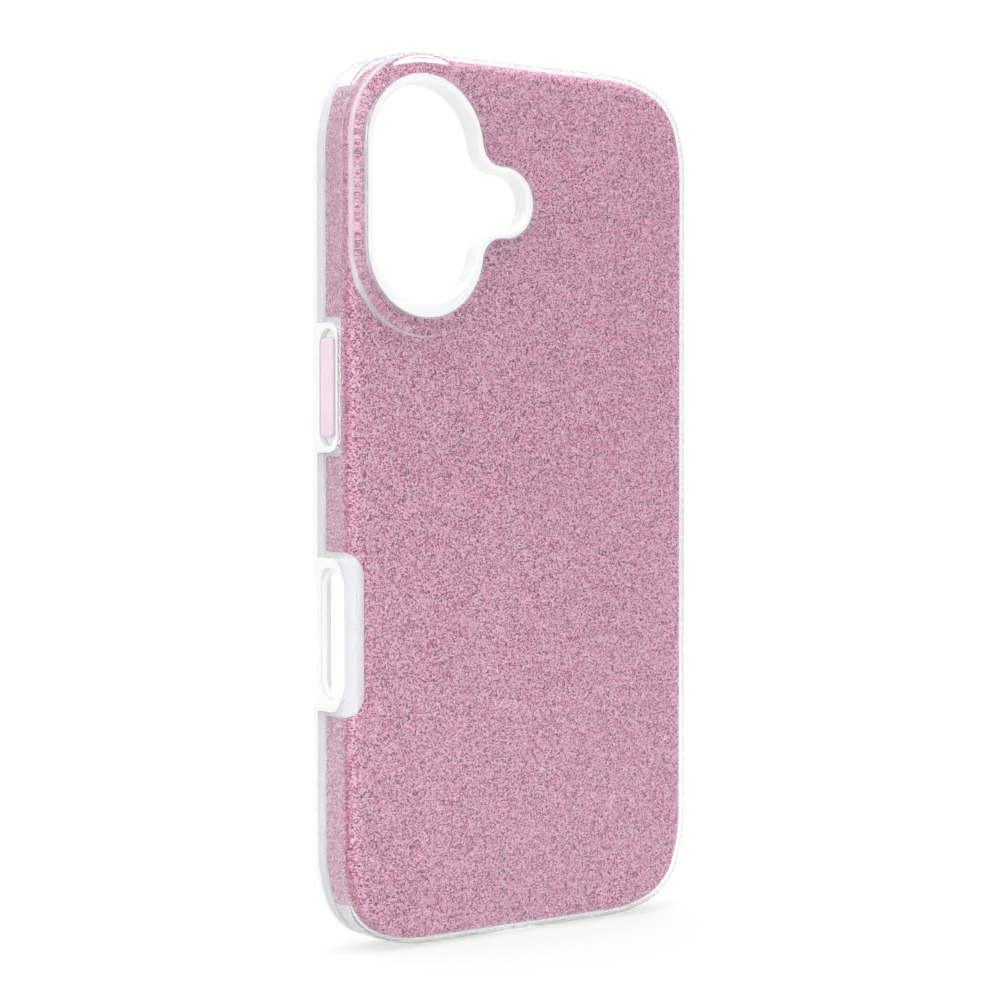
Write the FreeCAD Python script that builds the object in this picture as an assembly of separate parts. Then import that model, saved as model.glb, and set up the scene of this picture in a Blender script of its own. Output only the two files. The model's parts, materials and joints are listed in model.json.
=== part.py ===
import FreeCAD
import Part
import math
import os

# Protective case for a slab phone: a soft milky liner with a screen rim, a thin
# glitter sheet folded round it, a hard clear back shell and four button pads.
# Upright: +Z is up, -Y is the decorated back, +X is to the right seen from the back.
# The origin is the centre of the pocket floor, where the phone's back rests. Millimetres.

# The phone that the case is made for
PHONE_W = 71.6
PHONE_H = 147.6
PHONE_D = 7.8
SIDE_ARC_R = 25.0
TIP_ARC_R = 9.5
SIDE_ARC_TURN = math.radians(20)
PHONE_EDGE_R = 1.2

# Layers, as distances outwards from the phone's sides and back
LINER_OUT = 0.90
SHEET_IN = 0.93
SHEET_OUT = 1.08
SHELL_IN = 1.11
CASE_OUT = 2.00

# Screen rim of the liner
RIM_FRONT = PHONE_D + 1.4
LIP_OVERLAP = 1.1
PARTING_Y = 7.2
PARTING_GAP = 0.08
RIM_EDGE_R = 0.9
LIP_EDGE_R = 0.35

# Camera window: a tall pill with a flash lobe to its right
CAM_X = -22.85
CAM_Z = 51.4
CAM_W = 21.8
CAM_H = 37.0
LOBE_X = -6.4
LOBE_Z = 50.85
LOBE_R = 4.95
NECK_R = 5.2
# Collar of the liner that lines the window
COLLAR_W = 23.75
COLLAR_H = 40.75
COLLAR_Z = 51.0
COLLAR_LOBE_R = 6.1
COLLAR_NECK_R = 4.1
COLLAR_SINK = 0.25
COLLAR_EDGE_R = 0.35
SHELL_GAP = 0.06
SHEET_GAP = 0.15
# Raised clear bumper round the camera window
BUMPER_W = 29.8
BUMPER_H = 47.6
BUMPER_Z = 51.1
BUMPER_LOBE_R = 7.7
BUMPER_NECK_R = 1.4
BUMPER_RISE = 1.8
BUMPER_EDGE_R = 0.8
BUMPER_MOUTH_R = 0.45

# Glitter sheet: how far its back and its two side flaps reach
BACK_FRONT = 0.8
BACK_TOP = 74.5
BACK_BOTTOM = -74.1
FLAP_FRONT = 5.3
FLAP_TOP = 68.8
FLAP_BOTTOM = -67.7

# Buttons: side (-1 is -X, +1 is +X), middle height and pad length
BUTTONS = {
    "power": (-1, 18.8, 16.5),
    "action": (1, 41.4, 8.4),
    "volume_up": (1, 25.6, 10.0),
    "volume_down": (1, 11.4, 10.0),
}
# Liner bosses that carry them: side, middle height and length
BOSSES = [(-1, 18.8, 21.9), (1, 26.0, 44.6)]
BUTTON_Y = 4.1
PAD_W = 3.5
PAD_BACK = 0.6
PAD_FRONT = 2.4
PAD_CORNER_R = 1.0
PAD_EDGE_R = 0.5
MOAT_END = 1.6
MOAT_SIDE = 0.7
WEB_BACK = 0.75
WEB_FRONT = 1.05
WEB_GAP = 0.03
BOSS_WALL = 0.6
BOSS_FRONT = 2.05
NOTCH_GAP = 0.08

# Camera-control opening: a slot in a scooped thinning of the side wall
SLOT_Z = -22.55
SLOT_Y = 4.2
SLOT_L = 20.7
SLOT_W = 5.4
SLOT_BEVEL = 0.6
LEDGE_W = 0.9
LEDGE_DEPTH = 0.3
SCOOP_L = 24.2
SCOOP_RAMP = 4.0
SCOOP_DEPTH = 0.95
SCOOP_NOTCH_L = 26.0
SCOOP_NOTCH_Y = 0.5

# Sheet notches beside the power button and the camera-control slot
POWER_NOTCH = (7.3, 30.6, 1.0)
SLOT_NOTCH_X = 34.1
SLOT_NOTCH = (-36.7, -8.2)
SLOT_NOTCH_R = 4.5
RIGHT_NOTCH = (2.9, 49.1, 1.0)

# Bottom wall: charging port and two speaker slots
PORT_L = 12.6
PORT_W = 6.4
SPEAKER_X = 18.0
SPEAKER_L = 12.0
SPEAKER_W = 2.2
BOTTOM_Y = 3.9

REACH = 20.0
NEAR = 1e-4


def vec(x, y, z):
    return FreeCAD.Vector(x, y, z)


def corner_arcs(grow, sign_x, sign_z):
    """Three tangent arcs of one outline corner, from the side wall to the end wall."""
    side_r = SIDE_ARC_R + grow
    tip_r = TIP_ARC_R + grow
    step = SIDE_ARC_R - TIP_ARC_R
    turn = SIDE_ARC_TURN
    inset = SIDE_ARC_R - step * (math.cos(turn) - math.sin(turn))
    side_c = (PHONE_W / 2 - SIDE_ARC_R, PHONE_H / 2 - inset)
    end_c = (PHONE_W / 2 - inset, PHONE_H / 2 - SIDE_ARC_R)
    tip_c = (side_c[0] + step * math.cos(turn), side_c[1] + step * math.sin(turn))
    spans = [
        (side_c, side_r, 0.0, turn),
        (tip_c, tip_r, turn, math.pi / 2 - turn),
        (end_c, side_r, math.pi / 2 - turn, math.pi / 2),
    ]
    arcs = []
    for centre, radius, start, stop in spans:
        points = []
        for angle in (start, (start + stop) / 2, stop):
            x = centre[0] + radius * math.cos(angle)
            z = centre[1] + radius * math.sin(angle)
            points.append(vec(sign_x * x, 0, sign_z * z))
        arcs.append(Part.Arc(points[0], points[1], points[2]).toShape())
    return arcs, arcs[0].Vertexes[0].Point, arcs[2].Vertexes[-1].Point


def outline_face(grow):
    """The phone's outline, grown outwards, as a face in the plane y = 0."""
    edges = []
    ends = {}
    for sign_x in (-1, 1):
        for sign_z in (-1, 1):
            arcs, side_end, top_end = corner_arcs(grow, sign_x, sign_z)
            edges += arcs
            ends[(sign_x, sign_z)] = (side_end, top_end)
    for sign in (-1, 1):
        edges.append(Part.makeLine(ends[(sign, -1)][0], ends[(sign, 1)][0]))
        edges.append(Part.makeLine(ends[(-1, sign)][1], ends[(1, sign)][1]))
    return Part.Face(Part.Wire(Part.__sortEdges__(edges)))


def slab(grow, y_back, y_front):
    face = outline_face(grow)
    face.translate(vec(0, y_back, 0))
    return face.extrude(vec(0, y_front - y_back, 0))


def at_y(shape, y):
    return abs(shape.BoundBox.YMin - y) < NEAR and abs(shape.BoundBox.YMax - y) < NEAR


def edges_at_y(solid, y):
    return [edge for edge in solid.Edges if at_y(edge, y)]


def hole_edges(solid, y):
    """Edges round the hole in the flat ring face at one y."""
    edges = []
    for face in solid.Faces:
        if at_y(face, y):
            for wire in face.Wires:
                if not wire.isSame(face.OuterWire):
                    edges += wire.Edges
    return edges


def layer_block(grow, y_front):
    """Solid out to one layer, with its back edge rounded about the phone's own edge."""
    block = slab(grow, -grow, y_front)
    return block.makeFillet(PHONE_EDGE_R + grow, edges_at_y(block, -grow))


def rounded_face(centre, along_u, along_v, size_u, size_v, radius):
    """Rounded rectangle round a centre, in the plane of two unit directions."""
    half_u = size_u / 2
    half_v = size_v / 2
    edges = []
    for sign_u, sign_v in ((1, 1), (-1, 1), (-1, -1), (1, -1)):
        across = along_u * (sign_u * (half_u - radius))
        corner = centre + across + along_v * (sign_v * (half_v - radius))
        on_u = corner + along_u * (sign_u * radius)
        on_v = corner + along_v * (sign_v * radius)
        diagonal = (along_u * sign_u + along_v * sign_v) * (radius * math.sqrt(0.5))
        edges.append(Part.Arc(on_u, corner + diagonal, on_v).toShape())
    flat_u = half_u - radius
    flat_v = half_v - radius
    for sign in (-1, 1):
        if flat_v > NEAR:
            side = centre + along_u * (sign * half_u)
            edges.append(Part.makeLine(side - along_v * flat_v, side + along_v * flat_v))
        if flat_u > NEAR:
            side = centre + along_v * (sign * half_v)
            edges.append(Part.makeLine(side - along_u * flat_u, side + along_u * flat_u))
    return Part.Face(Part.Wire(Part.__sortEdges__(edges)))


def side_bar(side, y_mid, z_mid, size_y, size_z, radius, inner, outer):
    """Bar through a side wall; inner and outer are distances from the phone's side."""
    centre = vec(side * (PHONE_W / 2 + inner), y_mid, z_mid)
    face = rounded_face(centre, vec(0, 1, 0), vec(0, 0, 1), size_y, size_z, radius)
    return face.extrude(vec(side * (outer - inner), 0, 0))


def open_bar(side, y_low, y_high, z_mid, size_z, radius, inner, outer):
    """Like side_bar, but its rounded end is at y_low and it is square at y_high."""
    full = side_bar(side, y_low + REACH / 2, z_mid, REACH, size_z, radius, inner, outer)
    keep = Part.makeBox(8 * REACH, y_high - y_low, 16 * REACH, vec(-4 * REACH, y_low, -8 * REACH))
    return full.common(keep)


def lobed_face(centre_x, centre_z, width, height, lobe_x, lobe_z, lobe_r, neck_r):
    """Tall pill with a round-ended lobe on its right, joined by two hollow arcs."""
    pill_r = width / 2
    straight = height / 2 - pill_r
    left = centre_x - pill_r
    edges = [Part.makeLine(vec(left, 0, centre_z - straight), vec(left, 0, centre_z + straight))]
    lobe_ends = []
    for sign in (-1, 1):
        end = vec(centre_x, 0, centre_z + sign * straight)
        neck_z = lobe_z + sign * (lobe_r + neck_r)
        beyond = sign * (neck_z - end.z)
        pivot = end if beyond > 0 else vec(centre_x, 0, neck_z)
        neck_x = centre_x + math.sqrt((pill_r + neck_r) ** 2 - max(0.0, beyond) ** 2)
        neck = vec(neck_x, 0, neck_z)
        on_pill = pivot + (neck - pivot) * (pill_r / (pill_r + neck_r))
        on_lobe = vec(neck_x, 0, lobe_z + sign * lobe_r)
        lobe_end = vec(lobe_x, 0, lobe_z + sign * lobe_r)
        top = end + vec(0, 0, sign * pill_r)
        upper_left = end + vec(-pill_r, 0, sign * pill_r) * math.sqrt(0.5)
        edges.append(Part.Arc(vec(left, 0, end.z), upper_left, top).toShape())
        corner = on_pill if beyond > 0 else end + vec(pill_r, 0, 0)
        half_way = ((top - end) + (corner - end)).normalize()
        edges.append(Part.Arc(top, end + half_way * pill_r, corner).toShape())
        if beyond <= 0:
            edges.append(Part.makeLine(corner, on_pill))
        bisector = ((on_pill - neck) + (on_lobe - neck)).normalize()
        edges.append(Part.Arc(on_pill, neck + bisector * neck_r, on_lobe).toShape())
        edges.append(Part.makeLine(on_lobe, lobe_end))
        lobe_ends.append(lobe_end)
    edges.append(Part.Arc(lobe_ends[0], vec(lobe_x + lobe_r, 0, lobe_z), lobe_ends[1]).toShape())
    return Part.Face(Part.Wire(Part.__sortEdges__(edges)))


def along_y(face, y_back, y_front):
    moved = face.copy()
    moved.translate(vec(0, y_back, 0))
    return moved.extrude(vec(0, y_front - y_back, 0))


def camera_window():
    face = lobed_face(CAM_X, CAM_Z, CAM_W, CAM_H, LOBE_X, LOBE_Z, LOBE_R, NECK_R)
    return along_y(face, -REACH, REACH)


def collar_block(grow, y_back):
    """Solid inside the collar's outline, grown outwards, from y_back to the pocket floor."""
    width = COLLAR_W + 2 * grow
    height = COLLAR_H + 2 * grow
    lobe_r = COLLAR_LOBE_R + grow
    face = lobed_face(CAM_X, COLLAR_Z, width, height, LOBE_X, LOBE_Z, lobe_r, COLLAR_NECK_R - grow)
    return along_y(face, y_back, 0)


def scoop():
    """Cutter for the hollow in the side wall: S-shaped ramps into a flat floor."""
    outer = -(PHONE_W / 2 + CASE_OUT)
    floor = outer + SCOOP_DEPTH
    half = SCOOP_L / 2
    ramp_r = (SCOOP_RAMP ** 2 + SCOOP_DEPTH ** 2) / (4 * SCOOP_DEPTH)
    middle = (outer + floor) / 2
    turn = math.asin(SCOOP_RAMP / 2 / ramp_r)
    edges = []
    for sign in (-1, 1):
        start = vec(outer, 0, SLOT_Z + sign * half)
        waist = vec(middle, 0, SLOT_Z + sign * (half - SCOOP_RAMP / 2))
        foot = vec(floor, 0, SLOT_Z + sign * (half - SCOOP_RAMP))
        rise = ramp_r * (1 - math.cos(turn / 2))
        run = ramp_r * math.sin(turn / 2)
        edges.append(Part.Arc(start, start + vec(rise, 0, -sign * run), waist).toShape())
        edges.append(Part.Arc(waist, foot + vec(-rise, 0, sign * run), foot).toShape())
        edges.append(Part.makeLine(start, start + vec(-REACH, 0, 0)))
    for x, reach in ((floor, half - SCOOP_RAMP), (outer - REACH, half)):
        edges.append(Part.makeLine(vec(x, 0, SLOT_Z - reach), vec(x, 0, SLOT_Z + reach)))
    face = Part.Face(Part.Wire(Part.__sortEdges__(edges)))
    return along_y(face, -REACH, REACH)


def slot_cutter():
    """The camera-control slot with its bevelled mouth and the sunk ledge round it."""
    slot = side_bar(-1, SLOT_Y, SLOT_Z, SLOT_W, SLOT_L, SLOT_W / 2, -REACH / 2, REACH)
    floor = CASE_OUT - SCOOP_DEPTH
    ledge_w = SLOT_W + 2 * LEDGE_W
    ledge_l = SLOT_L + 2 * LEDGE_W
    ledge = side_bar(-1, SLOT_Y, SLOT_Z, ledge_w, ledge_l, ledge_w / 2, floor - LEDGE_DEPTH, REACH)
    wires = []
    for spread in (0.0, 2 * SLOT_BEVEL):
        centre = vec(-(PHONE_W / 2 + floor - SLOT_BEVEL + spread), SLOT_Y, SLOT_Z)
        size = SLOT_W + 2 * spread
        face = rounded_face(centre, vec(0, 1, 0), vec(0, 0, 1), size, SLOT_L + 2 * spread, size / 2)
        wires.append(face.OuterWire)
    return slot.multiFuse([Part.makeLoft(wires, True, True), ledge])


def bottom_bar(x_mid, length, width):
    """Cutter for an opening in the bottom wall."""
    centre = vec(x_mid, BOTTOM_Y, -PHONE_H / 2 - REACH)
    face = rounded_face(centre, vec(1, 0, 0), vec(0, 1, 0), length, width, width / 2)
    return face.extrude(vec(0, 0, REACH + PHONE_EDGE_R))


def bottom_openings():
    cutters = [bottom_bar(0, PORT_L, PORT_W)]
    for sign in (-1, 1):
        cutters.append(bottom_bar(sign * SPEAKER_X, SPEAKER_L, SPEAKER_W))
    return cutters


def moat_size(length):
    return PAD_W + 2 * MOAT_SIDE, length + 2 * MOAT_END


def boss(side, z_mid, length, gap):
    """Liner boss that fills the shell's notch round the buttons, or the notch itself."""
    moat_w = PAD_W + 2 * MOAT_SIDE
    y_low = BUTTON_Y - moat_w / 2 - BOSS_WALL + gap
    y_high = PARTING_Y + 2 * PARTING_GAP + (0 if gap else REACH / 2)
    outer = BOSS_FRONT if gap else REACH / 2
    inner = LINER_OUT / 2 if gap else LINER_OUT
    return open_bar(side, y_low, y_high, z_mid, length - 2 * gap, moat_w / 2, inner, outer)


def slot_boss(gap):
    y_high = PARTING_Y + 2 * PARTING_GAP + (0 if gap else REACH / 2)
    outer = CASE_OUT if gap else REACH / 2
    inner = LINER_OUT / 2 if gap else LINER_OUT
    y_low = SCOOP_NOTCH_Y + gap
    return open_bar(-1, y_low, y_high, SLOT_Z, SCOOP_NOTCH_L - 2 * gap, SLOT_W / 2, inner, outer)


def make_liner():
    rim_back = PARTING_Y + PARTING_GAP
    wall = layer_block(LINER_OUT, rim_back + PARTING_GAP)
    rim = slab(CASE_OUT, rim_back, RIM_FRONT)
    rim = rim.makeFillet(RIM_EDGE_R, edges_at_y(rim, RIM_FRONT))
    collar_top = COLLAR_SINK - CASE_OUT - BUMPER_RISE
    added = [rim, collar_block(0, collar_top), slot_boss(NOTCH_GAP)]
    added += [boss(side, z_mid, length, NOTCH_GAP) for side, z_mid, length in BOSSES]
    body = wall.multiFuse(added)
    body = body.cut(layer_block(0.0, PHONE_D))
    body = body.cut(slab(-LIP_OVERLAP, PHONE_D / 2, RIM_FRONT + 1))
    body = body.makeFillet(LIP_EDGE_R, hole_edges(body, RIM_FRONT))
    body = body.cut(camera_window())
    body = body.makeFillet(COLLAR_EDGE_R, hole_edges(body, collar_top))
    cutters = [scoop(), slot_cutter()] + bottom_openings()
    for side, z_mid, length in BUTTONS.values():
        moat_w, moat_l = moat_size(length)
        cutters.append(side_bar(side, BUTTON_Y, z_mid, moat_w, moat_l, moat_w / 2, -REACH / 4, REACH))
    for cutter in cutters:
        body = body.cut(cutter)
    return body


def band(y_front, z_low, z_high):
    """Everything behind y_front and between two heights."""
    return Part.makeBox(8 * REACH, REACH + y_front, z_high - z_low, vec(-4 * REACH, -REACH, z_low))


def make_sheet():
    tray = layer_block(SHEET_OUT, FLAP_FRONT).cut(layer_block(SHEET_IN, FLAP_FRONT + 1))
    back = band(BACK_FRONT, BACK_BOTTOM, BACK_TOP)
    sheet = tray.common(back.fuse(band(FLAP_FRONT, FLAP_BOTTOM, FLAP_TOP)))
    for side, notch in ((-1, POWER_NOTCH), (1, RIGHT_NOTCH)):
        low, high, back = notch
        sheet = sheet.cut(open_bar(side, back, REACH, (low + high) / 2, high - low, 1.0, 0, REACH))
    low, high = SLOT_NOTCH
    reach = 2 * REACH
    centre = vec(-SLOT_NOTCH_X - reach / 2, 0, (low + high) / 2)
    notch = rounded_face(centre, vec(1, 0, 0), vec(0, 0, 1), reach, high - low, SLOT_NOTCH_R)
    sheet = sheet.cut(along_y(notch, -REACH, REACH))
    return sheet.cut(collar_block(SHEET_GAP, -REACH))


def make_shell():
    body = layer_block(CASE_OUT, PARTING_Y)
    top = -CASE_OUT - BUMPER_RISE
    plan = lobed_face(CAM_X, BUMPER_Z, BUMPER_W, BUMPER_H, LOBE_X, LOBE_Z, BUMPER_LOBE_R, BUMPER_NECK_R)
    bumper = along_y(plan, top, 0)
    bumper = bumper.makeFillet(BUMPER_EDGE_R, edges_at_y(bumper, top))
    body = body.fuse(bumper).cut(layer_block(SHELL_IN, PARTING_Y + 1))
    body = body.cut(collar_block(SHELL_GAP, -REACH))
    body = body.makeFillet(BUMPER_MOUTH_R, hole_edges(body, top))
    cutters = [scoop(), slot_boss(0)] + bottom_openings()
    cutters += [boss(side, z_mid, length, 0) for side, z_mid, length in BOSSES]
    for cutter in cutters:
        body = body.cut(cutter)
    return body


def make_pad(side, z_mid, length):
    pad = side_bar(side, BUTTON_Y, z_mid, PAD_W, length, PAD_CORNER_R, PAD_BACK, PAD_FRONT)
    front = side * (PHONE_W / 2 + PAD_FRONT)
    edges = []
    for edge in pad.Edges:
        if max(abs(edge.BoundBox.XMin - front), abs(edge.BoundBox.XMax - front)) < NEAR:
            edges.append(edge)
    return pad.makeFillet(PAD_EDGE_R, edges)


def make_web(side, z_mid, length):
    """Thin flexible strip round a pad, which closes the liner's window."""
    moat_w, moat_l = moat_size(length)
    web = side_bar(side, BUTTON_Y, z_mid, moat_w, moat_l, moat_w / 2, WEB_BACK, WEB_FRONT)
    hole_w = PAD_W + 2 * WEB_GAP
    hole_l = length + 2 * WEB_GAP
    hole = side_bar(side, BUTTON_Y, z_mid, hole_w, hole_l, PAD_CORNER_R + WEB_GAP, 0, CASE_OUT)
    return web.cut(hole)


def save(name, shape):
    if not shape.isValid() or len(shape.Solids) != 1:
        raise ValueError(name + " is not one valid solid")
    shape.Solids[0].exportStep(os.path.join("parts", name + ".step"))
    print(name, round(shape.Volume, 1))


os.makedirs("parts", exist_ok=True)
save("inner_liner", make_liner())
save("glitter_sheet", make_sheet())
save("outer_shell", make_shell())
for button, (side, z_mid, length) in BUTTONS.items():
    save(button + "_pad", make_pad(side, z_mid, length))
    save(button + "_web", make_web(side, z_mid, length))
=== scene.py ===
import json
import math

import bmesh
import bpy
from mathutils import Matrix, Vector


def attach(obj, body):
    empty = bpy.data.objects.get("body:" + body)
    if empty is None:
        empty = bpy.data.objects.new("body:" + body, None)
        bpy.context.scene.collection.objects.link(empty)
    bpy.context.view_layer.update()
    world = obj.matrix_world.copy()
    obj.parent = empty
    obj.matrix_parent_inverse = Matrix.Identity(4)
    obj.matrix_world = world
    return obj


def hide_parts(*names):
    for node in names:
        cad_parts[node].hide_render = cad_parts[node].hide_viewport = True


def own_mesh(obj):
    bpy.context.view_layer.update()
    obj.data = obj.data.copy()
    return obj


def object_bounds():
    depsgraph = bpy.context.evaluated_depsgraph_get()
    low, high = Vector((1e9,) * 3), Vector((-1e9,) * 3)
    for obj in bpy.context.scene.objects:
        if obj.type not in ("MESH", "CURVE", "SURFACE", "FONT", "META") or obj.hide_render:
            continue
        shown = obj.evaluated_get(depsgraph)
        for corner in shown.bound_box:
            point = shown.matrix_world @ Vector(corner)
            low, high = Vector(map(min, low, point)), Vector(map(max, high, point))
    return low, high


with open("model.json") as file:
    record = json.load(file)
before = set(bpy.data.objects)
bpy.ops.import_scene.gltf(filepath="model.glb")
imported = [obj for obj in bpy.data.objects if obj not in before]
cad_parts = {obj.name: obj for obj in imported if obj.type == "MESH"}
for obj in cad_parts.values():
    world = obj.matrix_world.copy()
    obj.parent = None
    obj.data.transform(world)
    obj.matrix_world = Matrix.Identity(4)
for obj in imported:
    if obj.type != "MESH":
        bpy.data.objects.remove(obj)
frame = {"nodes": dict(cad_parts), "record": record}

cad_lo, cad_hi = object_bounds()
MM = 0.001

# ---------------------------------------------------------------- node helpers


class Shader:
    """A material with short calls for adding and joining its nodes."""

    def __init__(self, name):
        self.mat = bpy.data.materials.new(name)
        self.mat.use_nodes = True
        self.tree = self.mat.node_tree
        self.tree.nodes.clear()
        self.out = self.add("ShaderNodeOutputMaterial")
        own = self.add("ShaderNodeTexCoord")
        self.coords = own.outputs["Object"]
        self.facing = own.outputs["Normal"]

    def add(self, kind, inputs=None, **settings):
        node = self.tree.nodes.new(kind)
        for key, value in settings.items():
            setattr(node, key, value)
        for key, value in (inputs or {}).items():
            self.join(value, node.inputs[key])
        return node

    def join(self, value, socket):
        if isinstance(value, bpy.types.NodeSocket):
            self.tree.links.new(value, socket)
        else:
            socket.default_value = value

    def math(self, operation, a, b=0.0):
        return self.add("ShaderNodeMath", {0: a, 1: b}, operation=operation).outputs[0]

    def axis(self, vector, name):
        return self.add("ShaderNodeSeparateXYZ", {0: vector}).outputs[name]

    def vector(self, operation, a, b=(0, 0, 0), scale=1.0):
        # Socket 3 is the scale, which has no name to the operations that don't use it.
        node = self.add("ShaderNodeVectorMath", {0: a, 1: b, 3: scale}, operation=operation)
        return node.outputs[0]

    def noise(self, size, detail=2.0):
        """Noise whose blobs are about size metres across."""
        inputs = {"Vector": self.coords, "Scale": 1.0 / size, "Detail": detail}
        return self.add("ShaderNodeTexNoise", inputs).outputs["Fac"]

    def cells(self, size, **inputs):
        """Cells about size metres across, each with its own random colour."""
        return self.add("ShaderNodeTexVoronoi", {"Vector": self.coords, "Scale": 1.0 / size, **inputs})

    def channels(self, colour):
        return self.add("ShaderNodeSeparateColor", {"Color": colour}).outputs

    def spread(self, value, low, high, to_low=0.0, to_high=1.0):
        """Maps the stretch from low to high evenly onto to_low to to_high, and stops there."""
        inputs = {"Value": value, "From Min": low, "From Max": high, "To Min": to_low, "To Max": to_high}
        return self.add("ShaderNodeMapRange", inputs).outputs["Result"]

    def mix(self, factor, a, b, blend="MIX"):
        # The Mix node has sockets for each kind of data: 6, 7 and 2 are the ones for colours.
        node = self.add("ShaderNodeMix", data_type="RGBA", blend_type=blend)
        self.join(factor, node.inputs[0])
        self.join(a, node.inputs[6])
        self.join(b, node.inputs[7])
        return node.outputs[2]

    def ramp(self, value, stops):
        node = self.add("ShaderNodeValToRGB", {"Fac": value})
        while len(node.color_ramp.elements) < len(stops):
            node.color_ramp.elements.new(0.5)
        for element, (place, colour) in zip(node.color_ramp.elements, stops):
            element.position = place
            element.color = (*colour, 1.0)
        return node.outputs["Color"]

    def bump(self, height, distance, strength=1.0):
        inputs = {"Height": height, "Distance": distance, "Strength": strength}
        return self.add("ShaderNodeBump", inputs).outputs["Normal"]

    def principled(self, **inputs):
        node = self.add("ShaderNodeBsdfPrincipled")
        for key, value in inputs.items():
            self.join(value, node.inputs[key.replace("_", " ")])
        return node


def srgb(red, green, blue):
    """A colour given as 0 to 255 display values, as linear light."""
    def linear(value):
        value /= 255
        return value / 12.92 if value <= 0.04045 else ((value + 0.055) / 1.055) ** 2.4
    return linear(red), linear(green), linear(blue)


# ------------------------------------------------------------------- materials

FLAKE = 0.2 * MM
FINE_FLAKE = 0.14 * MM
FINE_SHARE = 0.15
FLAKE_TILT = 0.7
# How strongly the painted shade darkens the glitter where the sheet bends.
BEND_SHADE = 0.6
DOT_PITCH = 1.5 * MM
# Where the clear shell turns milky: each pair is the start and the end of a fade.
BUMPER_Y = (-1.95 * MM, -2.15 * MM)
RIM_Y = (5.2 * MM, 5.5 * MM)
THICK_SIDE_X = (-34.0 * MM, -36.5 * MM)
OUTERMOST_X = (-35.5 * MM, -36.2 * MM)
SLOT_Z = -22.55 * MM
SLOT_REACH = (13.4 * MM, 12.8 * MM)
# The table's glow changes between these distances from the case, to one level for the camera
# and another for everything else.
GLOW_NEAR = 0.12
GLOW_FAR = 0.8
GLOW_LEVEL = 0.54
GLOW_LEVEL_MIRRORED = 0.4
GLOW_LEVEL_SEEN = 0.7


def glitter_material():
    """Dense fine glitter: each flake has its own tint, tilt and polish. Its brightness is partly painted
    sparkle, and the bend and the sideways flap get painted shade and greying.
    """
    s = Shader("pink_glitter")
    flake = s.cells(FLAKE).outputs["Color"]
    flake_tint_and_sparkle = s.channels(flake)
    fine_tint_and_sparkle = s.channels(s.cells(FINE_FLAKE).outputs["Color"])
    level = s.math("MULTIPLY", flake_tint_and_sparkle[0], 1 - FINE_SHARE)
    level = s.math("ADD", level, s.math("MULTIPLY", fine_tint_and_sparkle[0], FINE_SHARE))
    # Each flake's brightness runs from dark mauve to near white: partly the flakes' own mix of tints,
    # partly painted sparkle, with the near-white flakes standing in for glints of light.
    colour = s.ramp(level, [
        (0.10, srgb(84, 18, 48)),
        (0.28, srgb(170, 74, 116)),
        (0.46, srgb(242, 138, 182)),
        (0.64, srgb(255, 192, 222)),
        (0.86, srgb(255, 226, 244)),
    ])
    patch = s.spread(s.noise(8 * MM, detail=3), 0.38, 0.64)
    lavender = s.math("MULTIPLY", s.spread(flake_tint_and_sparkle[1], 0.3, 0.9, 0.02, 0.16), patch)
    colour = s.mix(lavender, colour, (*srgb(206, 160, 222), 1))
    facing_back = s.math("POWER", s.axis(s.facing, "Y"), 2.0)
    # Painted shade: the glitter is darker and redder where the sheet turns from the back to the side.
    bend_painted_shade = s.math("MULTIPLY", s.spread(facing_back, 0.0, 0.15), s.spread(facing_back, 0.6, 0.25))
    colour = s.mix(s.math("MULTIPLY", bend_painted_shade, BEND_SHADE), colour, (*srgb(206, 116, 154), 1), "MULTIPLY")
    # Painted greying: where the sheet faces sideways it is dulled towards grey, standing in for the
    # light that the frosted side wall in front of it scatters at a grazing angle.
    flap_painted_greying = s.spread(facing_back, 0.25, 0.02, 0.0, 0.12)
    colour = s.mix(flap_painted_greying, colour, (*srgb(150, 132, 144), 1))
    tilt = s.vector("SUBTRACT", flake, (0.5, 0.5, 0.5))
    tilt = s.vector("SCALE", tilt, scale=FLAKE_TILT)
    normal = s.vector("ADD", s.add("ShaderNodeNewGeometry").outputs["Normal"], tilt)
    normal = s.vector("NORMALIZE", normal)
    polish = s.spread(flake_tint_and_sparkle[2], 0.0, 1.0, 0.22, 0.5)
    shader = s.principled(Base_Color=colour, Roughness=polish, Normal=normal, Metallic=0.5)
    s.join(shader.outputs[0], s.out.inputs["Surface"])
    return s.mat


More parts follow.
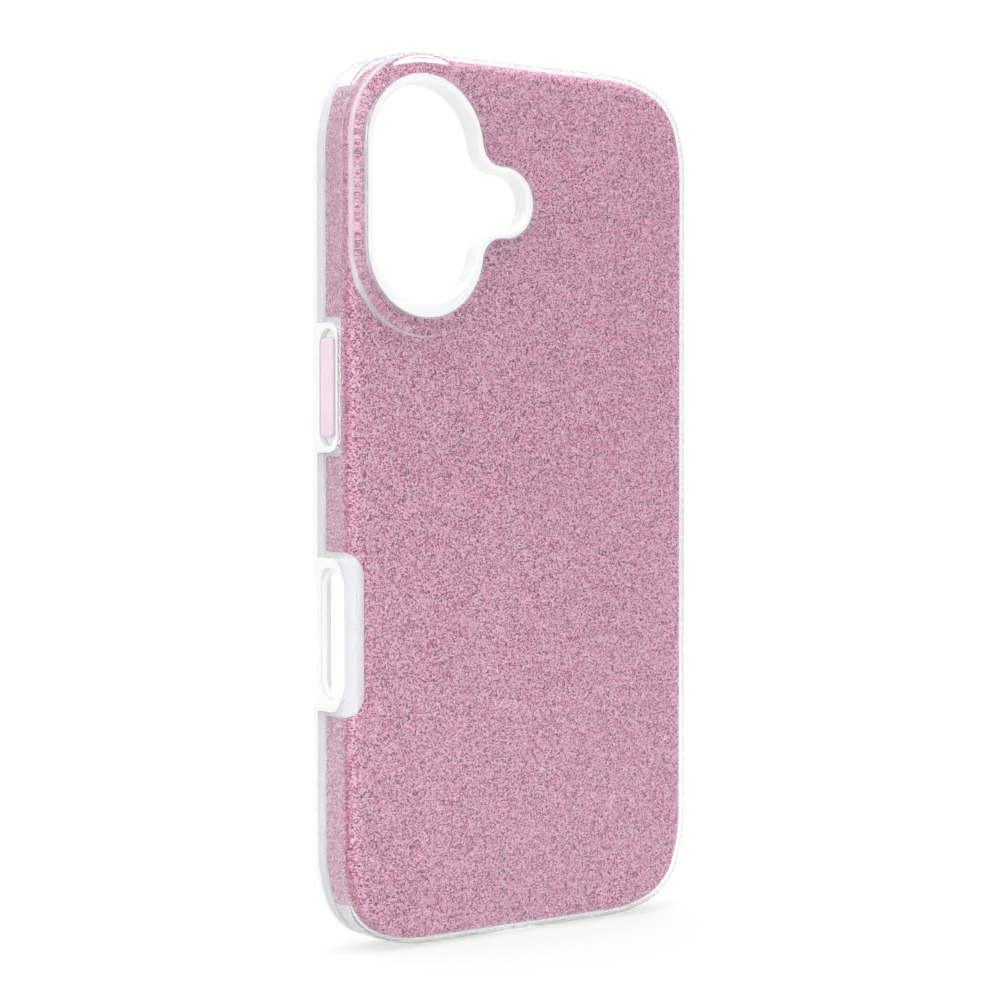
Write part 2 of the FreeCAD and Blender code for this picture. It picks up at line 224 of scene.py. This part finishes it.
def clear_material():
    """Polished clear plastic, with a milky haze at its rim, ends and slot and round the bumper."""
    s = Shader("clear_shell")
    wear = s.noise(14 * MM, detail=4)
    glass = s.principled(
        Base_Color=(0.995, 0.997, 1, 1), Roughness=s.spread(wear, 0.35, 0.7, 0.01, 0.04),
        IOR=1.49, Transmission_Weight=1.0,
    )
    through = s.add("ShaderNodeBsdfTransparent", {"Color": (0.99, 0.99, 0.995, 1)})
    sideways = s.spread(s.math("ABSOLUTE", s.axis(s.facing, "Y")), 0.8, 0.3)
    raised = s.spread(s.axis(s.coords, "Y"), *BUMPER_Y)
    both_ways = s.math("MULTIPLY", sideways, 0.15)
    clear = s.add("ShaderNodeMixShader", {0: both_ways, 1: glass.outputs[0], 2: through.outputs[0]})
    haze = s.principled(
        Base_Color=s.mix(wear, (*srgb(250, 251, 253), 1), (*srgb(240, 242, 245), 1)),
        Roughness=s.spread(wear, 0.3, 0.7, 0.3, 0.42), Transmission_Weight=0.35, IOR=1.3,
    )
    thick = s.spread(s.axis(s.coords, "X"), *THICK_SIDE_X, 0.03, 0.16)
    amount = s.math("ADD", s.math("MULTIPLY", raised, thick), s.math("MULTIPLY", sideways, 0.03))
    amount = s.math("ADD", amount, s.math("MULTIPLY", s.math("MULTIPLY", sideways, raised), 0.42))
    rim = s.math("MULTIPLY", sideways, s.spread(s.axis(s.coords, "Y"), *RIM_Y, 0.0, 0.5))
    from_slot = s.math("ABSOLUTE", s.math("SUBTRACT", s.axis(s.coords, "Z"), SLOT_Z))
    outermost = s.spread(s.axis(s.coords, "X"), *OUTERMOST_X, 0.0, 0.7)
    by_slot = s.math("MULTIPLY", s.spread(from_slot, *SLOT_REACH), outermost)
    ends = s.spread(s.math("ABSOLUTE", s.axis(s.facing, "Z")), 0.75, 0.95, 0.0, 0.3)
    milkiest = s.math("MAXIMUM", s.math("MAXIMUM", rim, ends), by_slot)
    amount = s.math("ADD", amount, milkiest)
    amount = s.math("ADD", amount, s.spread(wear, 0.3, 0.7, 0.005, 0.025))
    body = s.add("ShaderNodeMixShader", {0: amount, 1: clear.outputs[0], 2: haze.outputs[0]})
    shade = s.add("ShaderNodeBsdfTransparent", {"Color": (0.995, 0.995, 1, 1)})
    shadow = s.add("ShaderNodeLightPath").outputs["Is Shadow Ray"]
    both = s.add("ShaderNodeMixShader", {0: shadow, 1: body.outputs[0], 2: shade.outputs[0]})
    s.join(both.outputs[0], s.out.inputs["Surface"])
    return s.mat


def milky_material():
    """Soft translucent milky elastomer with a satin skin and a field of tiny dots on its floor."""
    s = Shader("milky_liner")
    cloud = s.noise(11 * MM, detail=3)
    colour = s.mix(s.spread(cloud, 0.35, 0.65), (*srgb(247, 248, 248), 1), (*srgb(242, 243, 244), 1))
    dots = s.spread(s.cells(DOT_PITCH, Randomness=0.0).outputs["Distance"], 0.3, 0.2)
    level = s.spread(s.axis(s.facing, "Y"), 0.9, 0.99)
    floor = s.math("MULTIPLY", level, s.spread(s.axis(s.coords, "Y"), 0.3 * MM, 0.1 * MM))
    dots = s.math("MULTIPLY", dots, floor)
    colour = s.mix(s.math("MULTIPLY", dots, 0.75), colour, (*srgb(214, 217, 221), 1))
    grain = s.math("MULTIPLY", s.noise(0.4 * MM, detail=2), 0.1)
    skin = s.bump(s.math("ADD", dots, grain), 0.03 * MM, 0.6)
    rough = s.spread(cloud, 0.3, 0.7, 0.26, 0.38)
    shader = s.principled(
        Base_Color=colour, Roughness=rough, Normal=skin, IOR=1.45, Subsurface_Weight=0.35,
        Subsurface_Scale=0.6 * MM, Transmission_Weight=0.06,
    )
    shade = s.add("ShaderNodeBsdfTransparent", {"Color": (0.45, 0.45, 0.46, 1)})
    shadow = s.add("ShaderNodeLightPath").outputs["Is Shadow Ray"]
    both = s.add("ShaderNodeMixShader", {0: shadow, 1: shader.outputs[0], 2: shade.outputs[0]})
    s.join(both.outputs[0], s.out.inputs["Surface"])
    return s.mat


def pad_material():
    """Pale pink moulded key with a fine matt texture."""
    s = Shader("pad_pink")
    cloud = s.noise(5 * MM, detail=3)
    colour = s.mix(s.spread(cloud, 0.35, 0.65), (*srgb(235, 218, 229), 1), (*srgb(230, 211, 224), 1))
    skin = s.bump(s.noise(0.18 * MM, detail=2), 0.008 * MM, 0.4)
    shader = s.principled(
        Base_Color=colour, Roughness=s.spread(cloud, 0.3, 0.7, 0.38, 0.5), Normal=skin,
        Subsurface_Weight=0.3, Subsurface_Scale=0.8 * MM,
    )
    s.join(shader.outputs[0], s.out.inputs["Surface"])
    return s.mat


def floor_material():
    """Pale light table. Far away it meets the surroundings, both seen and mirrored in the case."""
    s = Shader("stage_floor")
    cloud = s.noise(0.9, detail=2)
    colour = s.mix(s.spread(cloud, 0.3, 0.7), (0.42, 0.42, 0.42, 1), (0.4, 0.4, 0.405, 1))
    away = s.add("ShaderNodeVectorMath", {0: s.coords}, operation="LENGTH").outputs["Value"]
    direct = s.add("ShaderNodeLightPath").outputs["Is Camera Ray"]
    far_level = s.spread(direct, 0.0, 1.0, GLOW_LEVEL_MIRRORED, GLOW_LEVEL_SEEN)
    glow = s.spread(away, GLOW_NEAR, GLOW_FAR, GLOW_LEVEL, far_level)
    shader = s.principled(
        Base_Color=colour, Roughness=0.9, Specular_IOR_Level=0.1,
        Emission_Color=(1, 1, 1, 1), Emission_Strength=glow,
    )
    s.join(shader.outputs[0], s.out.inputs["Surface"])
    return s.mat


# --------------------------------------------------------------- studio, camera

CAMERA_TURN = math.radians(-37.77)
CAMERA_RISE = math.radians(1.13)
CAMERA_DISTANCE = 0.4327
CAMERA_LENS = 89.0
CAMERA_SHIFT = (-0.0218, -0.0022)
FLOOR_RADIUS = 4.0
FLOOR_GAP = 0.2 * MM
# Brightness of the surroundings for all but the camera: straight on and at the sides, and how
# much it grows overhead. Each edge is where that change starts and ends.
SIDE_EDGE = (0.75, 0.97)
SIDE_LEVEL = (0.925, 0.755)
OVERHEAD_EDGE = (0.2, 0.9)
OVERHEAD_GAIN = (1.0, 1.2)
BACKDROP_LEVEL = 1.1


def make_camera():
    data = bpy.data.cameras.new("camera")
    data.lens = CAMERA_LENS
    data.sensor_width = 36.0
    data.shift_x, data.shift_y = CAMERA_SHIFT
    data.clip_start = 0.01
    camera = bpy.data.objects.new("camera", data)
    bpy.context.scene.collection.objects.link(camera)
    back = Vector((
        math.sin(CAMERA_TURN) * math.cos(CAMERA_RISE),
        -math.cos(CAMERA_TURN) * math.cos(CAMERA_RISE),
        math.sin(CAMERA_RISE),
    ))
    camera.location = back * CAMERA_DISTANCE
    camera.rotation_euler = (-back).to_track_quat("-Z", "Y").to_euler()
    bpy.context.scene.camera = camera


def make_floor():
    mesh = bpy.data.meshes.new("stage_floor")
    bm = bmesh.new()
    bmesh.ops.create_circle(bm, cap_ends=True, segments=96, radius=FLOOR_RADIUS)
    bm.to_mesh(mesh)
    bm.free()
    floor = bpy.data.objects.new("stage_floor", mesh)
    floor.location.z = cad_lo.z - FLOOR_GAP
    mesh.materials.append(floor_material())
    bpy.context.scene.collection.objects.link(floor)


def make_light(name, azimuth, elevation, distance, size, power):
    data = bpy.data.lights.new(name, "AREA")
    data.size = size
    data.energy = power
    light = bpy.data.objects.new(name, data)
    a = math.radians(azimuth)
    e = math.radians(elevation)
    away = Vector((math.sin(a) * math.cos(e), -math.cos(a) * math.cos(e), math.sin(e)))
    light.location = away * distance
    light.rotation_euler = (-away).to_track_quat("-Z", "Y").to_euler()
    bpy.context.scene.collection.objects.link(light)


def make_world():
    """White surroundings; all but the camera also see soft grey cards at the sides."""
    world = bpy.data.worlds.new("studio")
    bpy.context.scene.world = world
    world.use_nodes = True
    tree = world.node_tree
    tree.nodes.clear()

    def add(kind, **settings):
        node = tree.nodes.new(kind)
        for key, value in settings.items():
            setattr(node, key, value)
        return node

    def fade(value, edge, level):
        node = add("ShaderNodeMapRange", interpolation_type="SMOOTHSTEP")
        tree.links.new(value, node.inputs["Value"])
        for socket, number in zip(("From Min", "From Max", "To Min", "To Max"), (*edge, *level)):
            node.inputs[socket].default_value = number
        return node.outputs["Result"]

    out = add("ShaderNodeOutputWorld")
    coords = add("ShaderNodeTexCoord")
    turn = add("ShaderNodeMapping")
    turn.inputs["Rotation"].default_value[2] = -CAMERA_TURN
    tree.links.new(coords.outputs["Generated"], turn.inputs["Vector"])
    axes = add("ShaderNodeSeparateXYZ")
    tree.links.new(turn.outputs["Vector"], axes.inputs[0])
    side = add("ShaderNodeMath", operation="ABSOLUTE")
    tree.links.new(axes.outputs["X"], side.inputs[0])
    strength = add("ShaderNodeMath", operation="MULTIPLY")
    tree.links.new(fade(side.outputs[0], SIDE_EDGE, SIDE_LEVEL), strength.inputs[0])
    tree.links.new(fade(axes.outputs["Z"], OVERHEAD_EDGE, OVERHEAD_GAIN), strength.inputs[1])
    lit = add("ShaderNodeBackground")
    lit.inputs["Color"].default_value = (1, 1, 1, 1)
    tree.links.new(strength.outputs[0], lit.inputs["Strength"])
    plain = add("ShaderNodeBackground")
    plain.inputs["Color"].default_value = (1, 1, 1, 1)
    plain.inputs["Strength"].default_value = BACKDROP_LEVEL
    path = add("ShaderNodeLightPath")
    mix = add("ShaderNodeMixShader")
    tree.links.new(path.outputs["Is Camera Ray"], mix.inputs[0])
    tree.links.new(lit.outputs[0], mix.inputs[1])
    tree.links.new(plain.outputs[0], mix.inputs[2])
    tree.links.new(mix.outputs[0], out.inputs["Surface"])


# ----------------------------------------------------------------- button webs
# The thin skin round each pad: it dips from the pad to the liner.

WALL_X = 35.8 * MM
PAD_MID_Y = 4.1 * MM
WEB_LOW = 0.75 * MM
WEB_RISE = 0.45 * MM
WEB_THICK = 0.28 * MM
WEB_RINGS = 10
CORNER_STEPS = 10
PAD_HALF_Y = 1.78 * MM
PAD_CORNER = 1.03 * MM
PAD_END_GAP = 0.03 * MM
MOAT_HALF_Y = 2.45 * MM
MOAT_END = 1.6 * MM
# Short of a half circle, so that the two arcs at an end never share a point.
MOAT_CORNER = 0.99 * MOAT_HALF_Y
# For each pad: its side (-1 left, 1 right), the height of its middle and its length.
WEBS = {
    "power": (-1, 18.8 * MM, 16.5 * MM),
    "action": (1, 41.4 * MM, 8.4 * MM),
    "volume_up": (1, 25.6 * MM, 10.0 * MM),
    "volume_down": (1, 11.4 * MM, 10.0 * MM),
}


def rounded_outline(half_y, half_z, radius):
    """Points round a rectangle with rounded corners, the same number for any size."""
    points = []
    for sign_y, sign_z, start in ((1, 1, 0.0), (-1, 1, 0.5), (-1, -1, 1.0), (1, -1, 1.5)):
        for step in range(CORNER_STEPS + 1):
            angle = math.pi * (start + 0.5 * step / CORNER_STEPS)
            y = sign_y * (half_y - radius) + radius * math.cos(angle)
            z = sign_z * (half_z - radius) + radius * math.sin(angle)
            points.append((y, z))
    return points


def make_web(name, side, mid_z, length):
    outer = rounded_outline(MOAT_HALF_Y, length / 2 + MOAT_END, MOAT_CORNER)
    inner = rounded_outline(PAD_HALF_Y, length / 2 + PAD_END_GAP, PAD_CORNER)
    bm = bmesh.new()
    layers = []
    for lift in (0.0, WEB_THICK):
        rings = []
        for ring in range(WEB_RINGS + 1):
            t = ring / WEB_RINGS
            height = WEB_LOW + lift + WEB_RISE * t * t * (3 - 2 * t)
            verts = []
            for (y0, z0), (y1, z1) in zip(outer, inner):
                y = PAD_MID_Y + y0 + (y1 - y0) * t
                z = mid_z + z0 + (z1 - z0) * t
                verts.append(bm.verts.new((side * (WALL_X + height), y, z)))
            rings.append(verts)
        layers.append(rings)
    count = len(outer)
    loops = layers[0] + layers[1][::-1]
    for a, b in zip(loops, loops[1:] + loops[:1]):
        for k in range(count):
            following = (k + 1) % count
            bm.faces.new((a[k], a[following], b[following], b[k]))
    bmesh.ops.recalc_face_normals(bm, faces=bm.faces)
    mesh = bpy.data.meshes.new(name + "_skin")
    bm.to_mesh(mesh)
    bm.free()
    for polygon in mesh.polygons:
        polygon.use_smooth = True
    skin = bpy.data.objects.new(name + "_skin", mesh)
    mesh.materials.append(materials["milky_liner"])
    bpy.context.scene.collection.objects.link(skin)
    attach(skin, "case")
    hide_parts(name + "_web")
    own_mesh(skin)


# ----------------------------------------------------------------------- object


def paint(obj, material):
    obj.data.materials.clear()
    obj.data.materials.append(material)


make_camera()
make_floor()
make_world()
make_light("key", azimuth=-70, elevation=40, distance=0.9, size=0.8, power=1.3)
make_light("top", azimuth=20, elevation=80, distance=1.0, size=1.0, power=3.0)
bpy.context.scene.view_settings.view_transform = "Standard"

materials = {
    "pink_glitter": glitter_material(),
    "clear_shell": clear_material(),
    "milky_liner": milky_material(),
    "pad_pink": pad_material(),
}
for part in frame["record"]["subparts"]:
    paint(frame["nodes"][part["node"]], materials[part["material_slot"]])

for name, (side, mid_z, length) in WEBS.items():
    make_web(name, side, mid_z, length)
